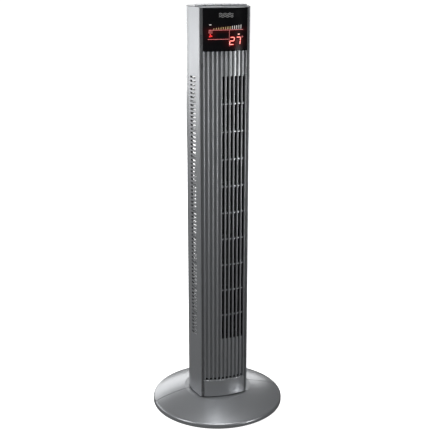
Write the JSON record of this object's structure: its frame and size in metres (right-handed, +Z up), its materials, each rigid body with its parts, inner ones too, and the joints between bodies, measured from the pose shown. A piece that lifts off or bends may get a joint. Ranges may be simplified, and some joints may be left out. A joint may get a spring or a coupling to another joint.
{
  "type": "tower fan",
  "caption": "Slim oscillating column fan with a ribbed front grille, a display above it, keys on top and a wide round dished base; a tall cross-flow wheel moves the air.",
  "frame": {"origin": "on the floor at the centre of the round base, on the swing axis", "axes": "+Z up, the front grille faces -Y, +X to the fan's right as seen from the front"},
  "size_m": [0.364, 0.364, 1.1025],
  "materials": {
    "silver_shell": "metallic silver lacquer, semi-gloss",
    "silver_plastic": "silver lacquered plastic, semi-gloss",
    "silver_grille": "silver lacquered plastic, satin",
    "dark_trim": "dark grey, satin",
    "window": "smoked, polished",
    "key_plastic": "silver, semi-gloss",
    "inner_plastic": "unpainted, matt",
    "blade_plastic": "dark, matt",
    "slide_plastic": "natural acetal, satin",
    "rubber": "matt",
    "zinc_steel": "zinc plated",
    "motor_steel": "drawn, zinc plated",
    "lamination": "stacked laminations, dull",
    "copper": "enamelled copper wire",
    "bronze": "sintered bronze",
    "cast_weight": "black coated",
    "board": "green board",
    "board_phenolic": "phenolic board",
    "component_black": "moulded, matt",
    "light_guide": "red diffusing",
    "light_guide_white": "white diffusing",
    "ribbon": "grey flat cable",
    "sleeve": "black sleeve"
  },
  "bodies": {
    "base": {"base_front_half": "silver_plastic", "base_rear_half": "silver_plastic", "base_feet": "rubber", "turntable_plate": "inner_plastic", "slide_ring": "slide_plastic", "base_screws": "zinc_steel", "pedestal_plate": "cast_weight", "guide_arm": "inner_plastic"},
    "tower": {"rear_housing": "silver_shell", "rear_housing_head": "silver_shell", "rear_housing_foot": "silver_shell", "handle_cup": "silver_plastic", "cord_grommet": "rubber", "bottom_cap": "inner_plastic", "floor_screws": "zinc_steel", "swivel_retainer": "motor_steel", "slide_washer": "slide_plastic", "front_frame": "dark_trim", "front_grille": "silver_grille", "front_apron": "silver_plastic", "display_window": "window", "top_cap": "silver_plastic", "control_board": "board", "tact_switches": "component_black", "display_board": "board", "small_screws": "zinc_steel", "led_digits": "light_guide", "led_speed_bar": "light_guide_white", "led_symbols": "light_guide", "ir_receiver": "component_black", "ribbon_cable": "ribbon", "scroll_wall": "inner_plastic", "vortex_wall": "inner_plastic", "lower_plate": "inner_plastic", "upper_plate": "inner_plastic", "upper_bush": "bronze", "bearing_rubber": "rubber", "motor_lower_shell": "motor_steel", "motor_upper_shell": "motor_steel", "motor_bushes": "bronze", "motor_stator": "lamination", "motor_windings": "copper", "motor_rubbers": "rubber", "motor_screws": "zinc_steel", "swing_motor": "motor_steel", "main_board": "board_phenolic", "board_parts": "component_black", "run_capacitor": "component_black", "wire_harness": "sleeve"},
    "crank": {"swing_crank": "slide_plastic"},
    "blower_wheel": {"impeller": "blade_plastic", "motor_shaft": "zinc_steel", "stub_shaft": "zinc_steel", "motor_rotor": "lamination"},
    "power_key": {"power_key": "key_plastic"},
    "speed_key": {"speed_key": "key_plastic"},
    "mode_key": {"mode_key": "key_plastic"},
    "timer_key": {"timer_key": "key_plastic"},
    "swing_key": {"swing_key": "key_plastic"},
    "temperature_key": {"temperature_key": "key_plastic"}
  },
  "joints": [
    {"name": "oscillation", "type": "hinge", "parent": "base", "child": "tower", "pos_m": [0, 0, 0.03], "axis": [0, 0, 1], "range_deg": [-35, 35]},
    {"name": "crank_turn", "type": "hinge", "parent": "tower", "child": "crank", "pos_m": [0, 0.026, 0.063], "axis": [0, 0, 1], "range_deg": [-126, 126]},
    {"name": "blower_spin", "type": "hinge", "parent": "tower", "child": "blower_wheel", "pos_m": [0.01, 0.006, 0.2], "axis": [0, 0, 1], "continuous": true},
    {"name": "power_press", "type": "slide", "parent": "tower", "child": "power_key", "axis": [0, 0, -1], "range_m": [0, 0.0012], "stiffness_N_per_m": 600, "springref_m": -0.0008},
    {"name": "speed_press", "type": "slide", "parent": "tower", "child": "speed_key", "axis": [0, 0, -1], "range_m": [0, 0.0012], "stiffness_N_per_m": 600, "springref_m": -0.0008},
    {"name": "mode_press", "type": "slide", "parent": "tower", "child": "mode_key", "axis": [0, 0, -1], "range_m": [0, 0.0012], "stiffness_N_per_m": 600, "springref_m": -0.0008},
    {"name": "timer_press", "type": "slide", "parent": "tower", "child": "timer_key", "axis": [0, 0, -1], "range_m": [0, 0.0012], "stiffness_N_per_m": 600, "springref_m": -0.0008},
    {"name": "swing_press", "type": "slide", "parent": "tower", "child": "swing_key", "axis": [0, 0, -1], "range_m": [0, 0.0012], "stiffness_N_per_m": 600, "springref_m": -0.0008},
    {"name": "temperature_press", "type": "slide", "parent": "tower", "child": "temperature_key", "axis": [0, 0, -1], "range_m": [0, 0.0012], "stiffness_N_per_m": 600, "springref_m": -0.0008}
  ],
  "couplings": [
    {"joint": "crank_turn", "follows": "oscillation", "ratio": -3.5714}
  ]
}
